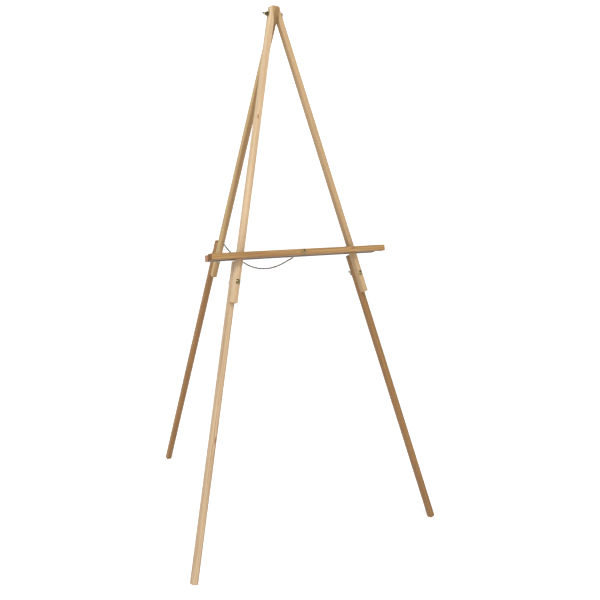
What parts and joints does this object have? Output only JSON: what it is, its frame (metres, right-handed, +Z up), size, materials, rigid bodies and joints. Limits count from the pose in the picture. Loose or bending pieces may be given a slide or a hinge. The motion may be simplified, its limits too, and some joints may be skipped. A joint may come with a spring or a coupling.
{
  "type": "display easel",
  "caption": "Folding wooden display easel that holds a sign or board on a clamped ledge against its sloping front legs, with jointed legs and a stay chain.",
  "frame": {"origin": "on the floor, midway between the left and right feet, and midway between the front feet and the rear foot", "axes": "+Z up, +Y from the front legs towards the rear leg, +X to the right as seen from in front of the ledge"},
  "size_m": [0.9138, 1.093, 1.6565],
  "materials": {
    "pale_wood": "sanded bare wood, thin clear coat",
    "tan_wood": "sanded bare wood, thin clear coat",
    "ledge_wood": "sanded bare wood, thin clear coat",
    "zinc_steel": "zinc plated, slightly yellow",
    "cast_zinc": "cast, plated, satin",
    "chain_steel": "plated wire links"
  },
  "bodies": {
    "ledge_set": {"ledge_front_rail": "ledge_wood", "ledge_back_rail": "ledge_wood", "ledge_bolt": "zinc_steel", "ledge_washer": "zinc_steel", "chain_ring": "zinc_steel", "chain": "chain_steel"},
    "ledge_wing_nut": {"ledge_wing_nut": "cast_zinc"},
    "top_bolt": {"top_bolt": "zinc_steel", "top_washer_right": "zinc_steel"},
    "top_washer": {"top_washer_left": "zinc_steel"},
    "top_wing_nut": {"top_wing_nut": "cast_zinc"},
    "left_upper_leg": {"upper_leg_left": "pale_wood", "leg_bolt_left": "zinc_steel", "leg_washer_left": "zinc_steel"},
    "right_upper_leg": {"upper_leg_right": "pale_wood", "leg_bolt_right": "zinc_steel", "leg_washer_right": "zinc_steel"},
    "rear_upper_leg": {"upper_leg_rear": "tan_wood", "leg_bolt_rear": "zinc_steel", "leg_washer_rear": "zinc_steel", "chain_eye": "zinc_steel"},
    "left_lower_leg": {"lower_leg_left": "pale_wood"},
    "right_lower_leg": {"lower_leg_right": "pale_wood"},
    "rear_lower_leg": {"lower_leg_rear": "tan_wood"},
    "left_wing_nut": {"leg_wing_nut_left": "cast_zinc"},
    "right_wing_nut": {"leg_wing_nut_right": "cast_zinc"},
    "rear_wing_nut": {"leg_wing_nut_rear": "cast_zinc"}
  },
  "joints": [
    {"name": "rear_leg_swing", "type": "hinge", "parent": "ledge_set", "child": "rear_upper_leg", "pos_m": [0, -0.26948, 1.63], "axis": [-1, 0, 0], "range_deg": [0, 31], "deforming": ["chain"]},
    {"name": "left_leg_splay", "type": "hinge", "parent": "ledge_set", "child": "left_upper_leg", "pos_m": [-0.0097, -0.27417, 1.60341], "axis": [0, 0.9848, -0.1736], "range_deg": [-14.8, 0]},
    {"name": "right_leg_splay", "type": "hinge", "parent": "ledge_set", "child": "right_upper_leg", "pos_m": [0.0097, -0.27417, 1.60341], "axis": [0, 0.9848, -0.1736], "range_deg": [0, 14.8]},
    {"name": "top_bolt_slide", "type": "slide", "parent": "ledge_set", "child": "top_bolt", "axis": [1, 0, 0], "range_m": [0, 0.0048]},
    {"name": "top_washer_slide", "type": "slide", "parent": "ledge_set", "child": "top_washer", "axis": [-1, 0, 0], "range_m": [0, 0.0048]},
    {"name": "left_leg_fold", "type": "hinge", "parent": "left_upper_leg", "child": "left_lower_leg", "pos_m": [-0.22784, -0.41108, 0.82695], "axis": [0, 0.9848, -0.1736], "range_deg": [0, 105]},
    {"name": "right_leg_fold", "type": "hinge", "parent": "right_upper_leg", "child": "right_lower_leg", "pos_m": [0.22784, -0.41108, 0.82695], "axis": [0, -0.9848, 0.1736], "range_deg": [0, 105]},
    {"name": "rear_leg_fold", "type": "hinge", "parent": "rear_upper_leg", "child": "rear_lower_leg", "pos_m": [0, 0.11156, 0.84177], "axis": [0, 0.9003, 0.4352], "range_deg": [0, 175]},
    {"name": "top_nut_turn", "type": "hinge", "parent": "top_washer", "child": "top_wing_nut", "pos_m": [0, -0.26948, 1.63], "axis": [1, 0, 0], "continuous": true},
    {"name": "left_nut_turn", "type": "hinge", "parent": "left_upper_leg", "child": "left_wing_nut", "pos_m": [-0.22784, -0.41108, 0.82695], "axis": [0, 0.9848, -0.1736], "continuous": true},
    {"name": "right_nut_turn", "type": "hinge", "parent": "right_upper_leg", "child": "right_wing_nut", "pos_m": [0.22784, -0.41108, 0.82695], "axis": [0, 0.9848, -0.1736], "continuous": true},
    {"name": "rear_nut_turn", "type": "hinge", "parent": "rear_upper_leg", "child": "rear_wing_nut", "pos_m": [0, 0.11156, 0.84177], "axis": [0, 0.9003, 0.4352], "continuous": true},
    {"name": "ledge_nut_turn", "type": "hinge", "parent": "ledge_set", "child": "ledge_wing_nut", "pos_m": [0, -0.39798, 0.90124], "axis": [0, 0.9848, -0.1736], "continuous": true}
  ],
  "couplings": [
    {"joint": "right_leg_splay", "follows": "left_leg_splay", "ratio": -1},
    {"joint": "top_bolt_slide", "follows": "left_leg_splay", "m_per_rad": -0.018564},
    {"joint": "top_washer_slide", "follows": "left_leg_splay", "m_per_rad": -0.018564}
  ]
}
